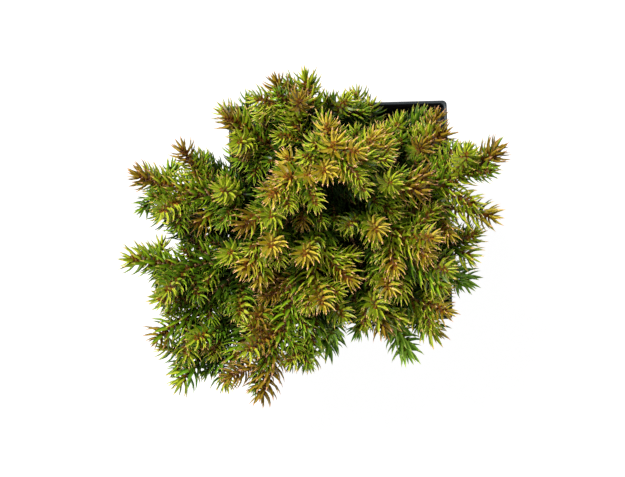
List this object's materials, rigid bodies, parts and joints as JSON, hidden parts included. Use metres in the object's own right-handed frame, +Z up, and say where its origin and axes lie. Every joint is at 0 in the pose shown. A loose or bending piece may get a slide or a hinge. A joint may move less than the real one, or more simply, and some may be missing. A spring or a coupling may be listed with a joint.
{
  "type": "potted dwarf cryptomeria",
  "caption": "Young dwarf cryptomeria, a bushy conifer with needle-clad shoots, standing in a square nursery pot of compost.",
  "frame": {"origin": "middle of the pot's flat underside, where the pot stands on the floor", "axes": "+Z up the plant; +X and +Y along the pot's sides, to the right and the far side of a view from above"},
  "size_m": [0.1555, 0.1309, 0.2001],
  "materials": {
    "pot": "moulded black plastic with a dull sheen and fine scuffs",
    "soil": "dark crumbly compost with bark fibres",
    "bark": "red-brown fibrous bark with lengthwise ridges",
    "foliage_low": "fresh green waxy needles",
    "foliage_middle": "yellow-green waxy needles with tan tips",
    "foliage_top": "yellow-green to bronze waxy needles with tan tips"
  },
  "bodies": {
    "root": {"pot": "pot", "soil": "soil", "trunk": "bark", "bough_low_1": "bark", "bough_low_2": "bark", "bough_low_3": "bark", "bough_low_4": "bark", "bough_low_5": "bark", "bough_low_6": "bark", "bough_low_7": "bark", "bough_middle_1": "bark", "bough_middle_2": "bark", "bough_middle_3": "bark", "bough_middle_4": "bark", "bough_middle_5": "bark", "bough_middle_6": "bark", "bough_middle_7": "bark", "bough_middle_8": "bark", "bough_middle_9": "bark", "bough_middle_10": "bark", "bough_middle_11": "bark", "bough_middle_12": "bark", "bough_middle_13": "bark", "bough_middle_14": "bark", "bough_middle_15": "bark", "foliage_low_1": "foliage_low", "foliage_low_2": "foliage_low", "foliage_low_3": "foliage_low", "foliage_low_4": "foliage_low", "foliage_low_5": "foliage_low", "foliage_low_6": "foliage_low", "foliage_low_7": "foliage_low", "foliage_middle_1": "foliage_middle", "foliage_middle_2": "foliage_middle", "foliage_middle_3": "foliage_middle", "foliage_middle_4": "foliage_middle", "foliage_middle_5": "foliage_middle", "foliage_middle_6": "foliage_middle", "foliage_middle_7": "foliage_middle", "foliage_middle_8": "foliage_middle", "foliage_middle_9": "foliage_middle", "foliage_middle_10": "foliage_middle", "foliage_middle_11": "foliage_middle", "foliage_middle_12": "foliage_middle", "foliage_middle_13": "foliage_middle", "foliage_middle_14": "foliage_middle", "foliage_middle_15": "foliage_middle", "foliage_top_1": "foliage_top", "foliage_top_2": "foliage_top", "foliage_top_3": "foliage_top", "foliage_top_4": "foliage_top", "foliage_top_5": "foliage_top", "foliage_top_6": "foliage_top", "foliage_top_7": "foliage_top", "foliage_top_8": "foliage_top", "foliage_top_9": "foliage_top", "foliage_top_10": "foliage_top", "foliage_top_11": "foliage_top", "foliage_top_12": "foliage_top", "foliage_leader": "foliage_top"}
  },
  "joints": []
}
